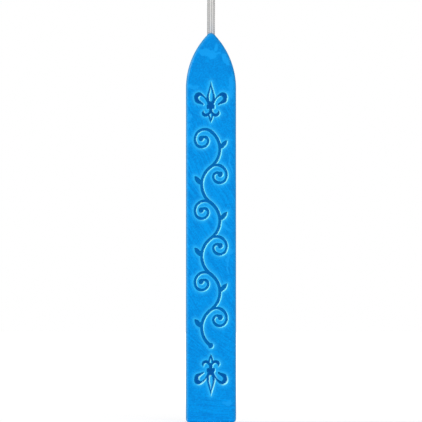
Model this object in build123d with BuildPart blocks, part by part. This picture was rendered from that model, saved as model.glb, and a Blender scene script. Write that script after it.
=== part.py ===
"""Sealing wax stick: a cast wax bar with an ogive point, a recessed ornament and a cotton wick.

The stick stands on its base, with +Z along its length and the ornament on the front face, towards -Y.
The origin is at the middle of the base. All sizes are in millimetres.
"""

from build123d import *
from math import pi, radians, tan
import os

os.makedirs("parts", exist_ok=True)

# Wax bar
stick_length = 90.0  # base to the top of the rounded point
stick_width = 11.59
stick_depth = 11.0
point_length = 12.75  # end of the straight sides to the top of the point
point_round = 1.1
edge_round = 0.45  # round the front and back faces
foot_corner_round = 0.85  # between the sides and the base

# Wick
wick_diameter = 1.83
wick_end_inset = 0.3  # lower end of the wick above the base
cast_gap = 0.02  # between the wick and the wax cast round it

# Route of the free wick, from the point of the stick to its cut end, as steps from the point
wick_route = [(0, 0, 0), (0, 0, 9.9), (0.35, 0.15, 20.2), (1.05, 0.40, 30.1)]
wick_bend_share = 0.45  # of the shorter run beside a bend, taken up by the bend's arc

# Recessed ornament
recess_depth = 0.45
fleur_width = 7.8
fleur_height = 9.47
upper_fleur_setback = 11.23  # top of the stick to the upper fleur's long spike
lower_fleur_setback = 6.26  # base to the lower fleur's long spike
vine_gap = 2.0  # between a fleur's short spike and the end of the vine's stem
vine_bends = 6
vine_swing = 2.1  # stem's reach to each side of the middle line
vine_stroke = 0.7
tendril_stroke = 0.58
tendril_radii = [2.3, 1.5, 0.9]  # of the arcs that a tendril winds in with
tendril_arc = 150  # degrees turned by each of those arcs
bud_diameter = 1.2
leaf_length = 2.6
leaf_width = 1.05
leaf_splay = 40  # degrees between a leaf and the stem that it grows on

# Worked out from the sizes above
half_width = stick_width / 2
shoulder_height = stick_length - point_length
wick_radius = wick_diameter / 2
tightest_corner = min(point_round, foot_corner_round)
corner_share = 0.8  # of the tightest corner, the most that the edge round may take up
face_edge_round = min(edge_round, corner_share * tightest_corner)

# Each flank of the point is one arc, tangent to the side below and to the round of the point above
round_rise = point_length - point_round
flank_radius = (half_width**2 + round_rise**2 - point_round**2) / (2 * (half_width - point_round))
round_middle = Vector(0, stick_length - point_round)
flank_middle = Vector(half_width - flank_radius, shoulder_height)
flank_end = round_middle + (round_middle - flank_middle).normalized() * point_round


# Fleur-de-lis, drawn upright about the middle of its knot
def fleur_point(across, up):
    """A point of the fleur, as a share of half its width and of its height."""
    return (across * fleur_width / 2, up * fleur_height)


long_spike_share = 0.615  # of the fleur's height, above the middle of the knot
short_spike_share = 1 - long_spike_share

with BuildSketch() as fleur:
    # Side petal: a hook that starts at the knot, swells at the outside and comes back to a blunt tip
    with BuildLine():
        petal_back = Spline(
            fleur_point(0.10, 0.110),
            fleur_point(0.45, 0.293),
            fleur_point(0.71, 0.351),
            fleur_point(0.945, 0.299),
            fleur_point(0.985, 0.200),
            fleur_point(0.88, 0.108),
            fleur_point(0.66, 0.074),
            fleur_point(0.44, 0.038),
        )
        petal_inside = Spline(
            fleur_point(0.41, 0.064),
            fleur_point(0.55, 0.118),
            fleur_point(0.722, 0.207),
            fleur_point(0.65, 0.261),
            fleur_point(0.41, 0.222),
            fleur_point(0.24, 0.110),
            fleur_point(0.17, 0.040),
        )
        Line(petal_back @ 1, petal_inside @ 0)
        Line(petal_inside @ 1, petal_back @ 0)
    make_face()
    # Curl under the knot, swept out and up to a point
    with BuildLine():
        curl_inside = Spline(
            fleur_point(0.04, -0.065),
            fleur_point(0.15, -0.138),
            fleur_point(0.31, -0.171),
            fleur_point(0.415, -0.132),
            fleur_point(0.435, -0.087),
            tangents=[(0.3, -1), (-0.1, 1)],
        )
        curl_back = Spline(
            curl_inside @ 1,
            fleur_point(0.53, -0.150),
            fleur_point(0.43, -0.225),
            fleur_point(0.27, -0.243),
            fleur_point(0.08, -0.228),
            tangents=[(0.8, -1), (-1, 0.1)],
        )
        Line(curl_back @ 1, curl_inside @ 0)
    make_face()
    mirror(about=Plane.YZ)
    # Long spike above the knot and short spike below it
    with BuildLine():
        Spline(
            fleur_point(0, long_spike_share),
            fleur_point(0.067, 0.515),
            fleur_point(0.187, 0.350),
            fleur_point(0.255, 0.228),
            fleur_point(0.17, 0.030),
            tangents=[(0.2, -1), (-0.3, -1)],
        )
        mirror(about=Plane.YZ)
        Line(fleur_point(-0.17, 0.030), fleur_point(0.17, 0.030))
    make_face()
    with BuildLine():
        Spline(
            fleur_point(0, -short_spike_share),
            fleur_point(0.077, -0.325),
            fleur_point(0.132, -0.244),
            fleur_point(0.085, -0.020),
            tangents=[(0.35, 1), (-0.1, 1)],
        )
        mirror(about=Plane.YZ)
        Line(fleur_point(-0.085, -0.020), fleur_point(0.085, -0.020))
    make_face()
    # Knot that ties them together
    knot_width, knot_height = fleur_point(0.495, 0.104)
    knot_round = fleur_height * 0.032
    RectangleRounded(knot_width, knot_height, knot_round)
    # Ribs left standing in the two spikes
    with BuildLine():
        Spline(
            fleur_point(0, 0.466),
            fleur_point(0.085, 0.310),
            fleur_point(0.095, 0.200),
            fleur_point(0, 0.125),
            tangents=[(0.12, -1), (-1, 0)],
        )
        mirror(about=Plane.YZ)
    make_face(mode=Mode.SUBTRACT)
    with BuildLine():
        Spline(
            fleur_point(0, -0.166),
            fleur_point(0.056, -0.218),
            fleur_point(0, -0.293),
            tangents=[(1, 0), (-0.2, -1)],
        )
        mirror(about=Plane.YZ)
    make_face(mode=Mode.SUBTRACT)

upper_knot_height = stick_length - upper_fleur_setback - long_spike_share * fleur_height
lower_knot_height = lower_fleur_setback + long_spike_share * fleur_height

# Running vine between the two fleurs: a stem of equal bends, with a leaf on the back of each bend
# and a tendril that leaves it at the end of the bend and winds back into the bend's hollow
vine_bottom = lower_knot_height + short_spike_share * fleur_height + vine_gap
vine_top = upper_knot_height - short_spike_share * fleur_height - vine_gap
bend_height = (vine_top - vine_bottom) / vine_bends

with BuildSketch() as vine:
    with BuildLine(mode=Mode.PRIVATE) as stem:
        for bend in range(vine_bends):
            bend_start = (0, vine_bottom + bend * bend_height)
            bend_end = (0, vine_bottom + (bend + 1) * bend_height)
            SagittaArc(bend_start, bend_end, vine_swing * (-1) ** bend)
    SlotArc(stem.wire(), vine_stroke)
    with Locations((0, vine_bottom)):
        Circle(bud_diameter / 2)
    for bend, bend_arc in enumerate(stem.edges().sort_by(Axis.Y)):
        turn = (-1) ** bend
        leaf_root = bend_arc @ 0.5
        leaf_tip = leaf_root + (bend_arc % 0.5).rotate(Axis.Z, turn * leaf_splay) * leaf_length
        with BuildLine():
            SagittaArc(leaf_root, leaf_tip, leaf_width / 2)
            SagittaArc(leaf_tip, leaf_root, leaf_width / 2)
        make_face()
        tendril_end = bend_arc @ 1
        tendril_heading = bend_arc % 1
        with BuildLine(mode=Mode.PRIVATE) as tendril:
            for radius in tendril_radii:
                tendril_bend = JernArc(tendril_end, tendril_heading, radius, -turn * tendril_arc)
                tendril_end = tendril_bend @ 1
                tendril_heading = tendril_bend % 1
        SlotArc(tendril.wire(), tendril_stroke)
        with Locations(tendril_end):
            Circle(bud_diameter / 2)

front_face = Plane(origin=(0, -stick_depth / 2, 0), x_dir=(1, 0, 0), z_dir=(0, -1, 0))

# Wax body, cast round the wick
with BuildPart() as wax_body:
    with BuildSketch(Plane.XZ):
        with BuildLine():
            foot = Line((0, 0), (half_width - foot_corner_round, 0))
            corner = TangentArc(foot @ 1, (half_width, foot_corner_round), tangent=foot % 1)
            side_line = Line(corner @ 1, (half_width, shoulder_height))
            flank = TangentArc(side_line @ 1, flank_end, tangent=side_line % 1)
            TangentArc(flank @ 1, (0, stick_length), tangent=flank % 1)
            mirror(about=Plane.YZ)
        make_face()
    extrude(amount=stick_depth / 2, both=True)
    fillet(wax_body.faces().filter_by(Axis.Y).edges(), radius=face_edge_round)
    with BuildSketch(Plane.XY):
        Circle(wick_radius + cast_gap)
    extrude(amount=stick_length, mode=Mode.SUBTRACT)
    with BuildSketch(front_face):
        with Locations((0, upper_knot_height)):
            add(fleur.sketch)
        with Locations((0, lower_knot_height)):
            add(fleur.sketch, rotation=180)
        add(vine.sketch)
    extrude(amount=-recess_depth, mode=Mode.SUBTRACT)
wax_body.part.label = "wax_body"
export_step(wax_body.part, "parts/wax_body.step")

# Wick held in the wax, from just above the base to the top of the point
with BuildPart() as wick_held:
    with BuildSketch(Plane.XY.offset(wick_end_inset)):
        Circle(wick_radius)
    extrude(amount=stick_length - wick_end_inset)
wick_held.part.label = "wick_held"
export_step(wick_held.part, "parts/wick_held.step")

# Free wick above the point, straight at first and then leaning a little to its cut end
route = [Vector(0, 0, stick_length) + Vector(step) for step in wick_route]
runs = [after - before for before, after in zip(route, route[1:])]
bend_radii = [
    wick_bend_share * min(run.length, next_run.length) / tan(radians(run.get_angle(next_run)) / 2)
    for run, next_run in zip(runs, runs[1:])
]
print("wick bend radii:", [round(radius, 1) for radius in bend_radii])

with BuildPart() as wick_free:
    with BuildLine() as wick_line:
        FilletPolyline(*route, radius=bend_radii)
    with BuildSketch(Plane.XY.offset(stick_length)):
        Circle(wick_radius)
    sweep()
wick_free.part.label = "wick_free"
export_step(wick_free.part, "parts/wick_free.step")
wick_length = wick_line.wire().length
wick_volume = pi * wick_radius**2 * wick_length
print("free wick length:", round(wick_length, 2))
print("section times length:", round(wick_volume, 3), "volume:", round(wick_free.part.volume, 3))
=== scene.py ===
import math

import bpy
import numpy as np
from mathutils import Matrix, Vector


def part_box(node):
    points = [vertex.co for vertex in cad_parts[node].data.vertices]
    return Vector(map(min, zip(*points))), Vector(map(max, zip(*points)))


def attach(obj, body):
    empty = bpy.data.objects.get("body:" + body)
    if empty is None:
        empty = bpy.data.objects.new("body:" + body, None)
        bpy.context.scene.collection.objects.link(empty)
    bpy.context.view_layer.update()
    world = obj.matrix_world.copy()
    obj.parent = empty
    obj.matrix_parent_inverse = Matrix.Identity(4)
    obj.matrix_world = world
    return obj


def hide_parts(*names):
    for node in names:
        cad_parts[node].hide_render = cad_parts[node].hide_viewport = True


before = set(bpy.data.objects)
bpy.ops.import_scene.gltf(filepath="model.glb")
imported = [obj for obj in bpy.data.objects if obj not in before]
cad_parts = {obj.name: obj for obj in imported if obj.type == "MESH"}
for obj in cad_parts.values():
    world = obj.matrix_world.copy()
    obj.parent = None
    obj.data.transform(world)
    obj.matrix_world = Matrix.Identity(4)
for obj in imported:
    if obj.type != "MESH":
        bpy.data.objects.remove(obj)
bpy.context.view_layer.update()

# Camera
# The stick is seen straight from the front, from so far away that its sides run parallel in the picture.
# The picture spans a little more than the stick, so the base is at its lower edge and the wick leaves it.
picture_span = 0.09748
picture_middle = 0.04888
lens_length = 1000.0
camera_data = bpy.data.cameras.new("camera")
camera_data.lens = lens_length
camera_data.clip_end = 20.0
camera = bpy.data.objects.new("camera", camera_data)
camera_distance = lens_length / camera_data.sensor_width * picture_span
camera.location = (0.0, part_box("wax_body")[0][1] - camera_distance, picture_middle)
camera.rotation_euler = (math.radians(90), 0.0, 0.0)
bpy.context.scene.collection.objects.link(camera)
bpy.context.scene.camera = camera
bpy.context.scene.view_settings.view_transform = "Standard"

# Wick
# A round braid of bleached cotton, twelve yarns each way over a twisted core, cut off at both ends and a
# little frayed at the upper one. It hangs in the mould while the wax is poured, so the wax holds one
# stretch and the rest stands free.
millimetres = 1000.0  # in a metre
wick_diameter = 0.00183
wick_radius = wick_diameter / 2
crown_share = 1.02  # of the wick's radius, where the crowns of the yarns reach
crown_radius = wick_radius * crown_share
wick_route = [(0, 0, 0.090), (0, 0, 0.0999), (0.00035, 0.00015, 0.1102), (0.00105, 0.00040, 0.1201)]
wick_foot = 0.0003
point_round = 0.0011  # of the wax's point, where the wick leaves it
braid_pitch = 0.0056
yarns_each_way = 12
yarn_radius = 0.000158
yarn_flatness = 0.86
yarn_sides = 10
yarn_half_height = yarn_radius * yarn_flatness
under_drop = 2.1 * yarn_half_height  # from the upper yarns to the lower ones
first_column = math.radians(-97)
facing_turn = math.radians(-76)
core_yarns = 7
core_yarn_radius = 0.00026
core_distance = 0.00052
core_pitch = 0.006
middle_offset = 1e-6  # of the middle core yarn, which still needs a way out from the line
float_flatness = 2.0  # the more, the longer a yarn stays up or down
fray_length = 0.0011
fray_spread = 0.45
uneven_cut = 0.00035
free_ring_count = 232
held_ring_count = 192
end_ring_count = 12
end_stretch = 0.0012  # at each end of the held wick, with closer rings
bake_map = "OFBake"  # the map that the finishes can be baked into
lane_edge = 0.04  # of a lane of that map, left free on each side
cap_share = 0.01  # of a lane's length, for the fan that closes each end
rng = np.random.default_rng(7)

route_curve = bpy.data.curves.new("wick_route", "CURVE")
route_curve.dimensions = "3D"
route_spline = route_curve.splines.new("NURBS")
route_spline.points.add(len(wick_route) - 1)
route_spline.points.foreach_set("co", np.c_[wick_route, np.ones(len(wick_route))].ravel())
route_spline.order_u = 3
route_spline.use_endpoint_u = True
route_spline.resolution_u = 40
route_object = bpy.data.objects.new("wick_route", route_curve)
route_mesh = bpy.data.meshes.new_from_object(route_object)
route_points = np.empty(len(route_mesh.vertices) * 3)
route_mesh.vertices.foreach_get("co", route_points)
route_points = route_points.reshape(-1, 3)
bpy.data.objects.remove(route_object)
bpy.data.curves.remove(route_curve)
bpy.data.meshes.remove(route_mesh)


def unit(vector):
    """Vectors divided by their lengths."""
    return vector / np.linalg.norm(vector, axis=-1, keepdims=True)


def smooth(value, low=0.0, high=1.0):
    """Smooth step from 0 at low to 1 at high: three times the square of the share less twice its cube."""
    share = np.clip((value - low) / (high - low), 0.0, 1.0)
    return share**2 * (3 - 2 * share)


def line_length(points):
    """Length of a line: its runs added up."""
    return np.linalg.norm(np.diff(points, axis=0), axis=1).sum()


def walk(points, steps):
    """Points and headings at distances along a line: each coordinate is interpolated over the length."""
    runs = np.linalg.norm(np.diff(points, axis=0), axis=1)
    reach = np.r_[0.0, np.cumsum(runs)]
    place = np.stack([np.interp(steps, reach, points[:, axis]) for axis in range(3)], axis=-1)
    return place, unit(np.gradient(place, axis=-2))


def braid(points, first_step, ring_places, fray):
    """Yarns of a round braid along a line, as an array of yarns by rings by sides.

    Half the yarns turn one way round the line and half the other. A yarn's distance from the line is a
    mean plus a cosine of half the yarns' count times its angle, flattened by a hyperbolic tangent and with
    the opposite sign for the other turn, so that each yarn goes over two others and under the next two.
    Core yarns turn at a steady distance inside them. A yarn is a flattened circle carried along its path,
    with its rings at shares of the length. Near a frayed end the yarns spread. The values at each point are
    its height from the lower yarns to the crowns, how far it is from the braid's columns to the grooves
    between them, and how far round it is from the turn that faces the front, and its opposite, to the sides
    between them; the finish paints shade by all three.
    """
    length = line_length(points)
    over = crown_radius - yarn_half_height
    under = over - under_drop
    turn = np.repeat([1, -1], yarns_each_way)[:, None]
    yarn = np.tile(np.arange(yarns_each_way) + 0.5, 2)[:, None]
    cut_back = fray * rng.uniform(0.0, uneven_cut, (len(turn) + core_yarns, 1))
    steps = ring_places * (length - cut_back)
    outer_steps, core_steps = steps[:-core_yarns], steps[-core_yarns:]
    angle = turn * 2 * math.pi * (yarn / yarns_each_way + (outer_steps + first_step) / braid_pitch)
    wave = turn * np.tanh(float_flatness * np.cos(yarns_each_way / 2 * (angle - first_column)))
    from_line = (over + under) / 2 + wave * (over - under) / 2
    near_end = fray * np.clip((steps - length + fray_length) / fray_length, 0.0, 1.0) ** 2
    core = np.arange(core_yarns)[:, None]
    core_angle = 2 * math.pi * (core / (core_yarns - 1) + core_steps / core_pitch)
    angle = np.r_[angle, core_angle]
    core_from_line = np.where(core == 0, middle_offset, core_distance)
    from_line = np.r_[from_line, core_from_line * np.ones(core_angle.shape)]
    from_line = from_line * (1 + near_end * rng.uniform(0.0, fray_spread, (len(steps), 1)))
    thick = np.r_[np.full(len(turn), yarn_radius), np.full(core_yarns, core_yarn_radius)]

    place, heading = walk(points, steps)
    across = unit(np.array([1.0, 0.0, 0.0]) - heading[..., :1] * heading)
    other = np.cross(heading, across)
    outward = np.cos(angle)[..., None] * across + np.sin(angle)[..., None] * other
    path = place + from_line[..., None] * outward
    along = unit(np.gradient(path, axis=1))
    up = unit(outward - (outward * along).sum(-1, keepdims=True) * along)
    side = np.cross(along, up)
    round_it = np.linspace(0, 2 * math.pi, yarn_sides, endpoint=False)[:, None]
    ring = np.cos(round_it) * yarn_flatness * up[:, :, None] + np.sin(round_it) * side[:, :, None]
    rings = path[:, :, None] + thick[:, None, None, None] * ring

    arm = rings - place[:, :, None]
    crown = (np.linalg.norm(arm, axis=-1) - under) / (crown_radius - under)
    crown = np.maximum(crown, smooth(near_end * 2)[:, :, None])
    ring_angle = np.arctan2((arm * other[:, :, None]).sum(-1), (arm * across[:, :, None]).sum(-1))
    groove = 0.5 - 0.5 * np.cos(yarns_each_way * (ring_angle - first_column))
    off_facing = 0.5 - 0.5 * np.cos(2 * (ring_angle - facing_turn))
    return rings, {"crown": crown, "groove": groove, "off_facing": off_facing}


def tubes(name, rings, fields):
    """Mesh of closed tubes from an array of tubes by rings by sides, with values at their points.

    A quad lies between each two rings and sides, and a fan of triangles from the middle of the first and
    of the last ring closes each tube. The yarn map runs along a tube in millimetres and once round it. The
    bake map lays the tubes side by side as lanes, unrolled, with the fans at both ends of each lane.
    """
    count, rows, sides = rings.shape[:3]
    tube, row, side = np.meshgrid(np.arange(count), np.arange(rows - 1), np.arange(sides), indexing="ij")
    first = (tube * rows + row) * sides
    after = (side + 1) % sides
    quads = np.stack([first + side, first + after, first + sides + after, first + sides + side], -1)
    path = rings.mean(axis=2)
    runs = np.linalg.norm(np.diff(path, axis=1, prepend=path[:, :1]), axis=-1)
    reach = np.cumsum(runs, axis=1) * millimetres
    low, high = reach[:, :-1, None], reach[:, 1:, None]
    left, right = side / sides, (side + 1) / sides
    quad_yarn = np.stack(np.broadcast_arrays(low, left, low, right, high, right, high, left), -1)
    lane_step = (1 - 2 * cap_share) / (rows - 1)
    start, stop = cap_share + row * lane_step, cap_share + (row + 1) * lane_step
    lane, lane_width = (tube + lane_edge) / count, (1 - 2 * lane_edge) / count
    near, far = lane + left * lane_width, lane + right * lane_width
    quad_bake = np.stack([start, near, start, far, stop, far, stop, near], -1)
    tube, end, side = np.meshgrid(np.arange(count), [0, 1], np.arange(sides), indexing="ij")
    rim = (tube * rows + end * (rows - 1)) * sides
    after = (side + 1) % sides
    middle = count * rows * sides + tube * 2 + end
    fans = np.stack([middle, rim + np.where(end, side, after), rim + np.where(end, after, side)], -1)
    fan_yarn = np.zeros(fans.size * 2)
    near, far = near[:, :2], far[:, :2]
    rim_place = np.where(end, 1 - cap_share, cap_share)
    first_side, next_side = np.where(end, near, far), np.where(end, far, near)
    fan_bake = np.stack([end, (near + far) / 2, rim_place, first_side, rim_place, next_side], -1)
    mesh = bpy.data.meshes.new(name)
    points = np.r_[rings.reshape(-1, 3), path[:, [0, -1]].reshape(-1, 3)]
    mesh.from_pydata(points, [], quads.reshape(-1, 4).tolist() + fans.reshape(-1, 3).tolist())
    mesh.shade_smooth()
    mesh.uv_layers.new(name="yarn").data.foreach_set("uv", np.r_[quad_yarn.ravel(), fan_yarn])
    mesh.uv_layers.new(name=bake_map).data.foreach_set("uv", np.r_[quad_bake.ravel(), fan_bake.ravel()])
    for field, value in fields.items():
        value = np.r_[value.ravel(), value[:, [0, -1]].mean(axis=2).ravel()]
        mesh.attributes.new(field, "FLOAT", "POINT").data.foreach_set("value", value.astype(np.float32))
    piece = bpy.data.objects.new(name, mesh)
    bpy.context.scene.collection.objects.link(piece)
    return piece


class Shade:
    """A socket of a shader tree. Sums and products of sockets add Math nodes, node() adds any other."""

    def __init__(self, tree, socket=None):
        self.tree = tree
        self.socket = socket

    def node(self, kind, settings, sockets, output=0):
        """Adds a node, sets its settings, then the values or links of its sockets, and wraps an output."""
        made = self.tree.nodes.new("ShaderNode" + kind)
        for name, value in settings.items():
            setattr(made, name, value)
        for name, value in sockets.items():
            if isinstance(value, Shade):
                self.tree.links.new(value.socket, made.inputs[name])
            else:
                made.inputs[name].default_value = value
        return Shade(self.tree, made.outputs[output] if made.outputs else None)

    def math(self, operation, first, second=0.0):
        """One operation on one or two values."""
        return self.node("Math", {"operation": operation}, {0: first, 1: second})

    def __add__(self, other):
        return self.math("ADD", self, other)

    def __radd__(self, other):
        return self.math("ADD", other, self)

    def __sub__(self, other):
        return self.math("SUBTRACT", self, other)

    def __rsub__(self, other):
        return self.math("SUBTRACT", other, self)

    def __mul__(self, other):
        return self.math("MULTIPLY", self, other)

    def __rmul__(self, other):
        return self.math("MULTIPLY", other, self)

    def between(self, low, high):
        """0 below low, 1 above high and a smooth step from one to the other."""
        settings = {"interpolation_type": "SMOOTHSTEP"}
        return self.node("MapRange", settings, {"Value": self, "From Min": low, "From Max": high})

    def mix(self, colour, other):
        """Goes from one colour to the other as this value goes from 0 to 1."""
        return self.node("Mix", {"data_type": "RGBA"}, {0: self, 6: colour, 7: other}, 2)

    def axis(self, name):
        """One part of a vector."""
        return self.node("SeparateXYZ", {}, {0: self}, "XYZ".index(name))

    def vector(self, x, y, z):
        """A vector of three values."""
        return self.node("CombineXYZ", {}, {0: x, 1: y, 2: z})

    def attribute(self, name):
        """A value that the mesh holds at its points."""
        return self.node("Attribute", {"attribute_name": name}, {}, "Fac")

    def noise(self, place, scale, detail=2.0, roughness=0.5, output="Fac"):
        """Cloudy noise at a place."""
        sockets = {"Vector": place, "Scale": scale, "Detail": detail, "Roughness": roughness}
        return self.node("TexNoise", {}, sockets, output)


def tone(red, green, blue):
    """A colour given as 0 to 255 in sRGB, turned into light by the power curve of sRGB on each part."""
    part = np.array([red, green, blue]) / 255
    light = np.where(part <= 0.04045, part / 12.92, ((part + 0.055) / 1.055) ** 2.4)
    return (*light.tolist(), 1.0)


def new_material(name):
    """An empty material and the shader tree that its nodes go in."""
    material = bpy.data.materials.new(name)
    material.use_nodes = True
    material.node_tree.nodes.clear()
    return material, Shade(material.node_tree)


# The cotton's finish: plied yarn, bright on the crowns of the braid, with painted shade below them, in its
# grooves, between its plies and round its sides as seen from the front, with fibres and slubs, and soaked
# with wax at its foot. The wax falls away from the top of the point about as a parabola does, by as much
# as its round does beside the wick.
plies = 3
ply_twist = 1.1  # turns of the plies in a millimetre of yarn
fibre_scale = 15000.0
slub_scale = 900.0
soak_low, soak_high = -0.00008, 0.0002
ply_height = 0.00006
bright_cotton = tone(255, 254, 250)
sunk_shade = tone(186, 185, 183)
groove_shade = tone(140, 140, 142)
side_shade = tone(150, 150, 151)
ply_shade_and_fibre = tone(180, 179, 178)
slub_cotton = tone(190, 189, 187)
soaked_cotton = tone(90, 165, 222)
point_fall = (point_round - math.sqrt(point_round**2 - wick_radius**2)) / wick_radius**2

cotton, cotton_shade = new_material("braided_cotton")
yarn_place = cotton_shade.node("UVMap", {"uv_map": "yarn"}, {})
ply_turn = (yarn_place.axis("X") * ply_twist + yarn_place.axis("Y")) * (2 * math.pi * plies)
ply = cotton_shade.math("SINE", ply_turn) * 0.5 + 0.5
cotton_place = cotton_shade.node("TexCoord", {}, {}, "Object")
fibre = cotton_shade.noise(cotton_place, fibre_scale, 3.0, 0.6)
slub = cotton_shade.noise(cotton_place, slub_scale, 2.0)
raised = cotton_shade.attribute("crown").between(0.0, 0.7)
in_groove = cotton_shade.attribute("groove").between(0.2, 0.95) * 0.76
off_facing = cotton_shade.attribute("off_facing")
off_facing_shade = off_facing.between(0.1, 0.6) * 0.46 + off_facing.between(0.62, 0.95) * 0.2
between_plies = (1 - ply) * 0.24 + fibre.between(0.4, 0.75) * 0.14
off_line = cotton_place.axis("X")
above_wax = cotton_place.axis("Z") - wick_route[0][2] + off_line * off_line * point_fall
soaked = (1 - above_wax.between(soak_low, soak_high)) * 0.6
# Painted shade: darker where the yarns sink below the crowns, in the grooves between the columns, between
# the plies, and round the wick's sides as seen from the front; the fibre and slub tones are the yarn's own.
cotton_tone = raised.mix(sunk_shade, bright_cotton)
cotton_tone = in_groove.mix(cotton_tone, groove_shade)
cotton_tone = off_facing_shade.mix(cotton_tone, side_shade)
cotton_tone = between_plies.mix(cotton_tone, ply_shade_and_fibre)
cotton_tone = (slub.between(0.45, 0.75) * 0.12).mix(cotton_tone, slub_cotton)
cotton_tone = soaked.mix(cotton_tone, soaked_cotton)
bump_sockets = {"Strength": 0.8, "Distance": ply_height, "Height": ply * 0.7 + fibre * 0.3}
cotton_bump = cotton_shade.node("Bump", {}, bump_sockets)
cotton_surface = cotton_shade.node(
    "BsdfPrincipled",
    {},
    {
        "Base Color": cotton_tone,
        "Roughness": 0.86 + slub * 0.12,
        "Specular IOR Level": 0.2,
        "Sheen Weight": 0.15,
        "Normal": cotton_bump,
    },
)
cotton_shade.node("OutputMaterial", {}, {"Surface": cotton_surface})

free_rings = np.linspace(0.0, 1.0, free_ring_count)
wick = tubes("wick", *braid(route_points, 0.0, free_rings, 1.0))
wick.data.materials.append(cotton)
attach(wick, "root")
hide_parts("wick_free")

held_line = np.array([(0, 0, wick_foot), wick_route[0]])
held_length = wick_route[0][2] - wick_foot
end_share = end_stretch / held_length
end_rings = np.linspace(0.0, end_share, end_ring_count)
middle_rings = np.linspace(end_share, 1 - end_share, held_ring_count)[1:-1]
held_rings = np.r_[end_rings, middle_rings, 1 - end_rings[::-1]]
held_wick = tubes("wick_in_wax", *braid(held_line, -held_length, held_rings, 0.0))
held_wick.data.materials.append(cotton)
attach(held_wick, "root")
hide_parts("wick_held")

# Wax body
# One block of blue wax with paler swirls, poured round the wick into a mould with an ogive point.
# The mould's raised ornament leaves soft-walled hollows in the front, and the poured back is plain.
body_low, body_high = [np.array(corner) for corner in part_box("wax_body")]
half_width = body_high[0]
half_depth = body_high[1]
stick_length = body_high[2]
point_length = 0.01275
edge_round = 0.00080
base_round = 0.00030
foot_round = 0.00085
bore_radius = 0.000935
bore_depth = 0.0012
bore_lip = [(1.12, 0.0), (1.03, 0.03), (1.0, 0.12)]  # shares of the bore's radius, outwards and up
fine_gap = 0.000105  # between rows and between columns where the ornament is
ornament_low, ornament_high = 0.0059, 0.07926
ornament_reach = 0.00405
foot_rows, lower_rows, upper_rows, point_rows, base_rows = 9, 18, 44, 10, 6
margin_columns, edge_columns, back_columns = 5, 6, 10
side_share = np.array([-0.93, -0.5, 0.0, 0.5, 0.93, 1.0])
level_share = np.array([0.12, 0.3, 0.5, 0.7, 0.85, 0.95])
outline_digits, skin_digits = 7, 8  # decimals that tell two points apart
face_drop = 0.00004  # from the ornament's halo to the plain front
wall_width = 0.00014
slant_width = 0.00008
slant_fall_low, slant_fall_high = math.radians(40), math.radians(14)
halo_reach = 0.00045
halo_fall = 1.4
far_away = 0.0015  # from the ornament, past which its distance isn't needed
uneven_depth = 0.000006
sink_depth = 0.00022
sink_foot, sink_top, sink_fade = 0.008, 0.086, 0.014
edge_highlight_mean, edge_highlight_swing = 0.6, 0.5  # painted highlight on the front's and back's edges: the left edges get more of it than the right ones, as from a lamp on the left
rim_side, rim_depth = (0.70, 0.95), (0.93, 1.0)  # how far round and how deep the painted shade on the rims of the sides starts


def recess_edges(node):
    """The recess's outline, as edges in x and z: the edges that only one triangle of its floor has.

    The floor's triangles are the ones that face the front and lie behind the front face.
    """
    mesh = node.data
    mesh.calc_loop_triangles()
    corner = np.empty(len(mesh.vertices) * 3)
    mesh.vertices.foreach_get("co", corner)
    triangle = np.empty(len(mesh.loop_triangles) * 3, int)
    mesh.loop_triangles.foreach_get("vertices", triangle)
    triangle = corner.reshape(-1, 3)[triangle].reshape(-1, 3, 3)
    facing = np.cross(triangle[:, 1] - triangle[:, 0], triangle[:, 2] - triangle[:, 0])
    facing_share, level_within, least_depth = 0.999, 1e-6, 1e-4
    to_front = -facing[:, 1] > facing_share * np.linalg.norm(facing, axis=1)
    depth = triangle[:, :, 1] - body_low[1]
    level = to_front & (np.ptp(depth, axis=1) < level_within) & (depth.min(axis=1) > least_depth)
    floor = triangle[level][:, :, [0, 2]]
    floor = np.round(floor.reshape(-1, 2), outline_digits)
    spot, number = np.unique(floor, axis=0, return_inverse=True)
    number = number.reshape(-1, 3)
    pair = np.sort(np.concatenate([number[:, [0, 1]], number[:, [1, 2]], number[:, [2, 0]]]), axis=1)
    pair, used = np.unique(pair, axis=0, return_counts=True)
    return spot[pair[used == 1]], depth[level].mean()


def inside_by(x, z, edges, limit):
    """Distance from points to the outline, positive inside it and never more than a limit.

    The distance is the least one to any edge. A point is inside where a level line to its right crosses the
    outline an odd number of times. The points go in bands of rows, each with the edges that are near it.
    """
    band_count = 60
    level_rise = 1e-12  # stands in for no rise, as a level edge is never crossed
    result = np.full(x.shape, -limit)
    for band in np.array_split(np.arange(len(x)), band_count):
        low, high = z[band].min() - limit, z[band].max() + limit
        near = edges[(edges[:, :, 1].max(axis=1) > low) & (edges[:, :, 1].min(axis=1) < high)]
        if len(near) == 0:
            continue
        start, run = near[:, 0], near[:, 1] - near[:, 0]
        off_x = x[band][..., None] - start[:, 0]
        off_z = z[band][..., None] - start[:, 1]
        share = np.clip((off_x * run[:, 0] + off_z * run[:, 1]) / (run**2).sum(axis=1), 0.0, 1.0)
        gap = np.hypot(off_x - share * run[:, 0], off_z - share * run[:, 1]).min(axis=-1)
        rise = np.where(run[:, 1] == 0, level_rise, run[:, 1])
        crossed = ((off_z >= 0) != (off_z >= run[:, 1])) & (off_x < off_z / rise * run[:, 0])
        inside = crossed.sum(axis=-1) % 2 == 1
        result[band] = np.where(inside, 1, -1) * np.minimum(gap, limit)
    return result


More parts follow.
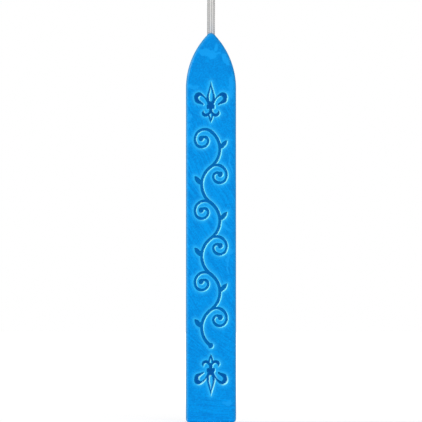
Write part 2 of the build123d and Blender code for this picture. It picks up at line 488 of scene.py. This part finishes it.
# Half outline of the stick, from the base up the right side to the point: points and outward normals.
# Each flank of the point is one arc, tangent to the side below and to the round of the point above.
round_rise = point_length - point_round
flank_radius = (half_width**2 + round_rise**2 - point_round**2) / (2 * (half_width - point_round))
shoulder = stick_length - point_length
flank_turn = math.atan2(round_rise, flank_radius - half_width)
foot_turn = np.linspace(-math.pi / 2, 0, foot_rows)
side_height = np.r_[
    np.linspace(foot_round, ornament_low, lower_rows)[1:-1],
    np.linspace(ornament_low, shoulder, int((shoulder - ornament_low) / fine_gap)),
]
turn_at_top = math.asin((ornament_high - shoulder) / flank_radius)
fine_turn = np.linspace(0, turn_at_top, int(turn_at_top * flank_radius / fine_gap))[1:]
upper_turn = np.linspace(turn_at_top, flank_turn, upper_rows)[1:]
point_turn = np.linspace(flank_turn, math.pi / 2, point_rows)[1:]
flank_angles = np.r_[fine_turn, upper_turn]
outline_normal_angle = np.r_[foot_turn, np.zeros(len(side_height)), flank_angles, point_turn]
outline_x = np.r_[
    half_width - foot_round + foot_round * np.cos(foot_turn),
    np.full(len(side_height), half_width),
    half_width - flank_radius + flank_radius * np.cos(flank_angles),
    point_round * np.cos(point_turn),
]
outline_z = np.r_[
    foot_round + foot_round * np.sin(foot_turn),
    side_height,
    shoulder + flank_radius * np.sin(flank_angles),
    stick_length - point_round + point_round * np.sin(point_turn),
]
outline_nx, outline_nz = np.cos(outline_normal_angle), np.sin(outline_normal_angle)

# Columns round the stick from the front's left edge: share of the width, turn from the front, share of
# the depth. The front has many, because the ornament is there.
inner_half = half_width - edge_round
front_share = np.linspace(-ornament_reach, ornament_reach, int(2 * ornament_reach / fine_gap)) / inner_half
margin = np.linspace(ornament_reach / inner_half, 1.0, margin_columns)[1:]
front_share = np.r_[-margin[::-1], front_share, margin]
edge_turn = np.linspace(0, math.pi / 2, edge_columns)[1:]
back_share = np.linspace(1.0, -1.0, back_columns)[1:]
runs_round = [
    (front_share, 0.0, -1.0),
    (1.0, edge_turn, -1.0),
    (1.0, math.pi / 2, side_share),
    (1.0, math.pi / 2 + edge_turn, 1.0),
    (back_share, math.pi, 1.0),
    (-1.0, math.pi + edge_turn, 1.0),
    (-1.0, 1.5 * math.pi, -side_share),
    (-1.0, 1.5 * math.pi + edge_turn[:-1], -1.0),
]
runs_round = [np.stack(np.broadcast_arrays(*run)) for run in runs_round]
column_share, column_turn, column_depth = np.concatenate(runs_round, axis=1)
column_side = np.sin(column_turn)

# The skin before it is worked: the outline moved in by each column's inset, and its outward normal.
# The edges of the front and back are rounder along the sides than along the base.
row_round = (edge_round + (base_round - edge_round) * np.clip(-outline_nz, 0, 1))[:, None]
inset = row_round * (1 - np.abs(column_side))
skin_x = column_share * (outline_x[:, None] - inset * outline_nx[:, None])
skin_z = outline_z[:, None] - inset * outline_nz[:, None]
skin_y = column_depth * (half_depth - row_round) - row_round * np.cos(column_turn)
normal_x = column_side * outline_nx[:, None]
normal_z = np.abs(column_side) * outline_nz[:, None]
normal_y = np.broadcast_to(-np.cos(column_turn), skin_x.shape)

# The ornament is pressed into the front: full depth inside its outline, with a soft wall. The walls on the
# right, and further down also those towards the base, are slanted and glossy, and they get a painted
# highlight, as from light from the upper left. A paler halo lies all round.
outline_edges, recess_depth = recess_edges(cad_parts["wax_body"])
front = slice(0, len(front_share))
reach = np.full(skin_x.shape, -far_away)
reach[:, front] = inside_by(skin_x[:, front], skin_z[:, front], outline_edges, far_away)
rise = np.gradient(reach[:, front], axis=0) / np.gradient(skin_z[:, front], axis=0)
lean = np.gradient(reach[:, front], axis=1) / np.gradient(skin_x[:, front], axis=1)
slant = np.zeros(skin_x.shape)
fall = slant_fall_low + (slant_fall_high - slant_fall_low) * skin_z[:, front] / stick_length
slant[:, front] = np.clip(rise * np.sin(fall) - lean * np.cos(fall), 0.0, 1.0)
pressed = smooth((reach + wall_width / 2) / (wall_width + slant * slant_width))
halo = np.exp(-((np.clip(-reach, 0, None) / halo_reach) ** halo_fall))

# The cast skin is slightly uneven, by the product of two crossed waves and half a third one, and the poured
# back sinks a little towards its middle.
along, across, through = [place * millimetres for place in (skin_z, skin_x, skin_y)]
uneven = np.sin(0.21 * along + 0.5 * across) * np.sin(0.43 * across - 0.13 * along + 0.4 * through)
uneven = uneven + 0.5 * np.sin(0.67 * along - 0.9 * across + 0.3 * through + 1.0)
sink = np.clip(normal_y, 0, 1) ** 8 * (1 - column_share**2) ** 2
sink = sink * smooth(skin_z, 0.0, sink_foot) * smooth(sink_top - skin_z, 0.0, sink_fade)
sink = sink * sink_depth * (1 + 0.25 * np.sin(0.35 * along))
worked = pressed * recess_depth + face_drop * (1 - halo) * np.abs(normal_y) ** 4
worked = worked + uneven_depth * (1.5 + uneven) + sink
skin = np.stack([skin_x - normal_x * worked, skin_y - normal_y * worked, skin_z - normal_z * worked], -1)

# The base closes the stick: round under the front and back edges, level to the wick's bore, and up into it.
base_turn = np.linspace(0, math.pi / 2, base_rows)[1:, None]
turn_off_front = np.arccos(np.abs(np.cos(column_turn)))
rolled = np.maximum(turn_off_front, base_turn)
base_depth = half_depth - base_round
base_loop = np.stack([
    np.broadcast_to(skin_x[0], rolled.shape),
    np.sign(column_depth) * (base_depth + base_round * np.cos(rolled)),
    base_round * (1 - np.sin(rolled)),
], -1)
on_side = np.isclose(np.abs(column_side), 1.0)
base_loop[:, on_side, 1] = column_depth[on_side] * base_depth
base_loop[:, on_side, 2] = 0.0
base_rim = base_loop[-1]
rim_angle = np.arctan2(base_rim[:, 1], base_rim[:, 0])
round_bore = np.stack([np.cos(rim_angle), np.sin(rim_angle), 0 * rim_angle], -1)
bore_profile = [(bore_radius * out, bore_radius * up) for out, up in bore_lip]
bore_profile = bore_profile + [(bore_radius, bore_depth), (0.0, bore_depth)]
bore_rings = np.stack([round_bore * radius + (0, 0, height) for radius, height in bore_profile])
inward = level_share[:, None, None]
level = base_rim * (1 - inward) + bore_rings[0] * inward
below = np.concatenate([base_loop, level, bore_rings])
points = np.concatenate([below[::-1], skin])
rows, columns = points.shape[:2]
row, column = np.meshgrid(np.arange(rows - 1) * columns, np.arange(columns), indexing="ij")
after = (column + 1) % columns
faces = np.stack([row + column, row + after, row + columns + after, row + columns + column], -1)

# The bake map is the skin unrolled: once round from left to right, and from the bore's end up to the point.
column_gap = np.linalg.norm(np.diff(points, axis=1, append=points[:, :1]), axis=-1).mean(axis=0)
row_gap = np.linalg.norm(np.diff(points, axis=0), axis=-1).mean(axis=1)
round_share = np.r_[0.0, np.cumsum(column_gap)] / column_gap.sum()
up_share = np.r_[0.0, np.cumsum(row_gap)] / row_gap.sum()
left, right = round_share[column], round_share[column + 1]
low, high = up_share[row // columns], up_share[row // columns + 1]
unrolled = np.stack([left, low, right, low, right, high, left, high], -1)


def welded(points, faces, unrolled):
    """Points that share a place become one, and a face that loses a corner to that is a triangle or goes.

    Also gives each old point's new number, and the corners' places on the unrolled skin in the new order.
    """
    spot, number = np.unique(np.round(points, skin_digits), axis=0, return_inverse=True)
    faces = number.reshape(-1)[faces]
    kept = faces != np.roll(faces, 1, axis=1)
    four = kept.all(axis=1)
    three = kept.sum(axis=1) == 3
    triangles = faces[three][kept[three]].reshape(-1, 3)
    unrolled = np.r_[unrolled[four].reshape(-1, 2), unrolled[three][kept[three]]]
    return spot, faces[four].tolist() + triangles.tolist(), number.reshape(-1), unrolled


wax_points, wax_faces, wax_number, wax_map = welded(
    points.reshape(-1, 3), faces.reshape(-1, 4), unrolled.reshape(-1, 4, 2)
)
wax_mesh = bpy.data.meshes.new("wax_body_cast")
wax_mesh.from_pydata(wax_points, [], wax_faces)
wax_mesh.shade_smooth()
wax_mesh.uv_layers.new(name=bake_map).data.foreach_set("uv", wax_map.ravel())

# What the finish reads at the points: the ornament's reach in millimetres, its slanted walls, which take a
# painted highlight, and its halo, the edges that get gloss and a painted highlight, and the rims where the
# sides meet those edges, which get painted shade.
none_below = np.zeros(below.shape[:2])
# The edges get a gloss coat and a painted highlight, paler on the left edges than on the right ones.
edge_gloss_and_highlight = np.sin(2 * column_turn) ** 4 * (edge_highlight_mean - edge_highlight_swing * column_side)
edge_gloss_and_highlight = np.broadcast_to(edge_gloss_and_highlight, skin_x.shape)
# Painted shade on the rims of the sides, next to the front's and the back's edges.
side_rim_shade = smooth(np.abs(column_side), *rim_side) * smooth(np.abs(column_depth), *rim_depth)
side_rim_shade = np.broadcast_to(side_rim_shade, skin_x.shape)
wax_fields = {"reach": reach * millimetres, "slant": slant, "halo": halo, "edge_gloss_and_highlight": edge_gloss_and_highlight, "rim": side_rim_shade}
for name, field in wax_fields.items():
    spread = np.zeros(len(wax_points), np.float32)
    spread[wax_number] = np.concatenate([none_below, field]).ravel()
    wax_mesh.attributes.new(name, "FLOAT", "POINT").data.foreach_set("value", spread)
wax_body = bpy.data.objects.new("wax_body_cast", wax_mesh)
bpy.context.scene.collection.objects.link(wax_body)

# The wax's finish, in millimetres: broad clouds, streaks that follow the pour, pale swirls and fine grain.
# A pair of heights or of distances is where a soft step starts and where it ends.
drift_scale, drift_reach = 0.12, 1.6
ripple_scale, ripple_reach = 0.8, 1.8
streak_scale, streak_draw = 2.6, 0.04
steep_fall, slanting_fall, level_fall = math.radians(60), math.radians(36), math.radians(5)
slanting_height, steep_height = (11.0, 16.0), (20.0, 26.0)
plain_height = (78.2, 79.0)
cloud_scale, swirl_scale, stir_scale = 0.24, 0.15, 0.11
grain_scale, speck_scale = 2.9, 4.2
grain_height = 0.00003  # in metres
swirl_depth = 2.5
oval_edge, swirl_edge = (0.8, 1.05), (0.61, 0.64)
behind_front = (-3.5, -1.5)
foot_height = (10.0, 12.5)
lower_spike_height, upper_spike_height = (9.0, 10.5), (74.5, 76.0)
spike_reach_squared = (1.0, 1.6)
vine_low_height, vine_high_height = (16.2, 17.2), (67.8, 68.8)
wall_seen, wall_seen_at_foot, wall_ragged, spike_narrowing = 0.17, 0.09, 0.4, 0.05
recess_step, highlight_step, floor_shade_step = (-0.09, -0.01), (-0.16, -0.08), (-0.05, 0.32)
dull_wax, bright_wax = tone(0, 132, 217), tone(0, 156, 241)
swirl_wax = tone(22, 159, 241)
halo_wax = tone(48, 190, 255)
# Painted highlight for the edges:
edge_highlight_wax = tone(74, 172, 196)
# Painted shade for the rims of the sides:
painted_rim_shade = tone(0, 134, 190)
# Painted highlights for the slanted walls, paler at the foot:
upper_highlight, foot_highlight = tone(138, 248, 255), tone(168, 255, 255)
# Painted shade for the recess's floors, less dark near its walls:
fleur_floor_shade, vine_floor_shade = tone(0, 92, 169), tone(0, 111, 186)
floor_edge_shade = tone(0, 126, 198)

wax, wax_shade = new_material("blue_wax")
wax_place = wax_shade.node("TexCoord", {}, {}, "Object")
wax_place = wax_shade.node("VectorMath", {"operation": "SCALE"}, {0: wax_place, "Scale": millimetres})
place_z = wax_place.axis("Z")


def stirred(scale, reach):
    """The place, moved about by cloudy noise of a scale: noise less a half, times a reach."""
    push = wax_shade.noise(wax_place, scale, 2.0, 0.5, "Color")
    push = wax_shade.node("VectorMath", {"operation": "SUBTRACT"}, {0: push, 1: (0.5, 0.5, 0.5)})
    sockets = {0: push, 1: (reach, reach, reach), 2: wax_place}
    return wax_shade.node("VectorMath", {"operation": "MULTIPLY_ADD"}, sockets)


drift = stirred(drift_scale, drift_reach)
ripple = stirred(ripple_scale, ripple_reach)
aside = drift.axis("X") + drift.axis("Y") * 0.8


def streaks(fall):
    """Streaks that fall to the right by an angle: noise drawn out along that way, fine across it."""
    over = aside * math.sin(fall) + drift.axis("Z") * math.cos(fall)
    down = aside * math.cos(fall) - drift.axis("Z") * math.sin(fall)
    return wax_shade.noise(wax_shade.vector(over, 0.0, down * streak_draw), streak_scale, 3.0, 0.65)


def pale_spot(x, z, wide, high, lean=0.0):
    """A pale swirl under the front: 1 inside an oval about a place, leaning from upright, and 0 outside."""
    sockets = {
        "Vector": ripple,
        "Location": (x, -half_depth * millimetres, z),
        "Rotation": (0.0, -math.radians(lean), 0.0),
        "Scale": (wide, swirl_depth, high),
    }
    spot = wax_shade.node("Mapping", {"vector_type": "TEXTURE"}, sockets)
    away = wax_shade.node("VectorMath", {"operation": "LENGTH"}, {0: spot}, "Value")
    return 1 - away.between(*oval_edge)


swirls = [
    pale_spot(-1.1, 85.5, 1.8, 0.9),
    pale_spot(0.2, 85.0, 1.1, 0.9),
    pale_spot(1.1, 86.7, 0.45, 1.1, -12),
    pale_spot(1.6, 85.3, 0.8, 0.35),
    pale_spot(3.5, 83.9, 0.75, 1.6, 28),
    pale_spot(4.8, 77.9, 0.6, 3.2),
    pale_spot(4.2, 75.9, 0.6, 0.9),
    pale_spot(-4.1, 77.6, 1.5, 0.55),
    pale_spot(-4.9, 70.6, 0.5, 0.8),
    pale_spot(-5.2, 68.5, 0.4, 0.8),
    pale_spot(-4.9, 65.5, 0.65, 1.1),
    pale_spot(-3.2, 66.9, 0.5, 0.8),
    pale_spot(2.9, 56.7, 0.14, 2.4, 40),
    pale_spot(3.0, 56.4, 0.35, 0.5, 40),
    pale_spot(2.5, 59.8, 0.16, 2.4, 30),
    pale_spot(4.6, 59.5, 0.3, 2.6, 16),
    pale_spot(3.1, 45.4, 0.35, 2.7, 54),
    pale_spot(1.5, 42.7, 0.8, 0.45),
    pale_spot(4.4, 39.6, 0.95, 0.7),
    pale_spot(3.9, 36.6, 0.3, 2.6),
    pale_spot(-4.2, 33.0, 0.5, 1.3, 30),
    pale_spot(3.9, 4.5, 1.1, 0.7),
]
off_front = wax_place.axis("Y").between(*behind_front)
swirl = wax_shade.noise(ripple, swirl_scale, 1.0).between(*swirl_edge) * off_front
for spot in swirls:
    swirl = wax_shade.math("MAXIMUM", swirl, spot)

cloud = wax_shade.noise(drift, cloud_scale, 3.0, 0.55).between(0.35, 0.70)
steep = place_z.between(*steep_height)
slanting = place_z.between(*slanting_height)
streak = streaks(steep_fall) * steep + streaks(slanting_fall) * (slanting - steep)
streak = streak + streaks(level_fall) * (1 - slanting)
plain = ripple.axis("Z").between(*plain_height)
stir = wax_shade.noise(wax_place, stir_scale, 1.0).between(0.30, 0.62)
streak = (streak.between(0.38, 0.66) - 0.42) * (0.35 + stir * 0.75) * (1 - plain * 0.8)
grain = wax_shade.noise(wax_place, grain_scale, 1.0, 0.6)
speck_sockets = {"Vector": wax_place, "Scale": speck_scale, "Smoothness": 0.6}
speck = wax_shade.node("TexVoronoi", {"feature": "SMOOTH_F1"}, speck_sockets, "Color").axis("X")
pale = 0.46 + cloud * 0.20 + streak * 0.75 - plain * 0.17
pale = pale + (0.95 - pale) * swirl + (speck - 0.5) * (0.90 - swirl * 0.5)

# The recess's floor and walls: painted shade inside, and a painted highlight, a pale strip that also gets
# a gloss coat, up the slanted walls. The strip is broader and paler near the foot, and the fleurs' thin
# spikes are drawn a little narrower.
inside = wax_shade.attribute("reach")
lit_side = wax_shade.attribute("slant")
near_foot = 1 - place_z.between(*foot_height)
wall_strip = lit_side * (wall_seen + near_foot * wall_seen_at_foot + (grain - 0.5) * wall_ragged)
off_middle = wax_place.axis("X")
spike_zone = place_z.between(*upper_spike_height) + 1 - place_z.between(*lower_spike_height)
spike_zone = spike_zone * (1 - (off_middle * off_middle).between(*spike_reach_squared))
recess_shade_mask = (inside - wall_strip - spike_zone * spike_narrowing).between(*recess_step)
gloss_and_highlight_mask = lit_side * inside.between(*highlight_step) * (1 - recess_shade_mask)
highlight_tone = near_foot.mix(upper_highlight, foot_highlight)
vine_zone = place_z.between(*vine_low_height) * (1 - place_z.between(*vine_high_height))
# Painted shade in the recess: darker in the fleurs than in the vine, and less dark near the walls.
deep_shade = vine_zone.mix(fleur_floor_shade, vine_floor_shade)
floor_shade = inside.between(*floor_shade_step).mix(floor_edge_shade, deep_shade)
edge_gloss_and_highlight_mask = wax_shade.attribute("edge_gloss_and_highlight")

wax_tone = pale.mix(dull_wax, bright_wax)
wax_tone = (swirl * 0.6).mix(wax_tone, swirl_wax)
wax_tone = (wax_shade.attribute("halo") * 0.95).mix(wax_tone, halo_wax)
# Painted highlight: the edges are paler, the left ones more than the right ones.
wax_tone = (edge_gloss_and_highlight_mask * 0.4).mix(wax_tone, edge_highlight_wax)
# Painted shade on the rims of the sides.
wax_tone = wax_shade.attribute("rim").mix(wax_tone, painted_rim_shade)
# Painted highlight up the slanted walls.
wax_tone = gloss_and_highlight_mask.mix(wax_tone, highlight_tone)
# Painted shade in the recess.
wax_tone = recess_shade_mask.mix(wax_tone, floor_shade)
wax_sockets = {"Strength": 0.3, "Distance": grain_height, "Height": grain * 0.6 + streak * 0.4}
wax_bump = wax_shade.node("Bump", {}, wax_sockets)
wax_surface = wax_shade.node(
    "BsdfPrincipled",
    {},
    {
        "Base Color": wax_tone,
        "Roughness": 0.34 + grain * 0.14 + recess_shade_mask * 0.06,
        "Specular IOR Level": 0.02,
        "Coat Weight": gloss_and_highlight_mask * 0.1 + edge_gloss_and_highlight_mask * 0.5,
        "Coat Roughness": 0.30,
        "Normal": wax_bump,
    },
)
wax_shade.node("OutputMaterial", {}, {"Surface": wax_surface})
wax_mesh.materials.append(wax)
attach(wax_body, "root")
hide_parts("wax_body")

# Floor and light
# A pale table that keeps the stick's shadow, soft lamps from the left and the front, weaker ones from
# behind and the right, and even light all round. What the camera sees beyond the stick is white.
floor_reach = 2.0
paper_grey = (0.72, 0.72, 0.72, 1.0)
near_glow, far_glow = 0.44, 0.80
glow_step = (0.1, 0.6)
room_level = 0.48
floor_mesh = bpy.data.meshes.new("floor")
floor_corners = [(x * floor_reach, y * floor_reach, 0) for x, y in [(-1, -1), (1, -1), (1, 1), (-1, 1)]]
floor_mesh.from_pydata(floor_corners, [], [(0, 1, 2, 3)])
floor = bpy.data.objects.new("floor", floor_mesh)
bpy.context.scene.collection.objects.link(floor)


def background_ray(shade):
    """1 for a ray that shows the background, from the camera, off gloss or through glass, otherwise 0."""
    ray = shade.node("LightPath", {}, {}, "Is Camera Ray")
    off_gloss = Shade(shade.tree, ray.socket.node.outputs["Is Glossy Ray"])
    through_glass = Shade(shade.tree, ray.socket.node.outputs["Is Transmission Ray"])
    return shade.math("MAXIMUM", shade.math("MAXIMUM", ray, off_gloss), through_glass)


paper, paper_shade = new_material("white_table")
paper_place = paper_shade.node("TexCoord", {}, {}, "Object")
away = paper_shade.node("VectorMath", {"operation": "LENGTH"}, {0: paper_place}, "Value")
matt = paper_shade.node("BsdfDiffuse", {}, {"Color": paper_grey})
paper_glow = near_glow + away.between(*glow_step) * (far_glow - near_glow)
paper_glow = background_ray(paper_shade) * paper_glow
glow = paper_shade.node("Emission", {}, {"Color": paper_glow})
paper_surface = paper_shade.node("AddShader", {}, {0: matt, 1: glow})
paper_shade.node("OutputMaterial", {}, {"Surface": paper_surface})
floor_mesh.materials.append(paper)

world = bpy.data.worlds.new("studio")
world.use_nodes = True
world.node_tree.nodes.clear()
bpy.context.scene.world = world
room = Shade(world.node_tree)
room_glow = room_level + background_ray(room) * (1 - room_level)
room_light = room.node("Background", {}, {"Color": (1, 1, 1, 1), "Strength": room_glow})
room.node("OutputWorld", {}, {"Surface": room_light})


def soft_lamp(name, place, wide, power):
    """A round soft lamp that points at the middle of the stick."""
    data = bpy.data.lights.new(name, "AREA")
    data.shape = "DISK"
    data.size = wide
    data.energy = power
    made = bpy.data.objects.new(name, data)
    made.location = place
    aim = np.array([0, 0, picture_middle]) - place
    made.rotation_euler = (math.acos(-aim[2] / np.linalg.norm(aim)), 0.0, math.atan2(-aim[0], aim[1]))
    made.visible_camera = False
    bpy.context.scene.collection.objects.link(made)


soft_lamp("left_lamp", (-1.94, -0.50, 0.65), 0.50, 16.8)
soft_lamp("front_lamp", (0.24, -1.96, 0.55), 1.20, 17.6)
soft_lamp("back_lamp", (0.70, 1.90, 0.85), 1.20, 9.6)
soft_lamp("right_lamp", (1.84, 0.60, 0.65), 0.80, 5.0)
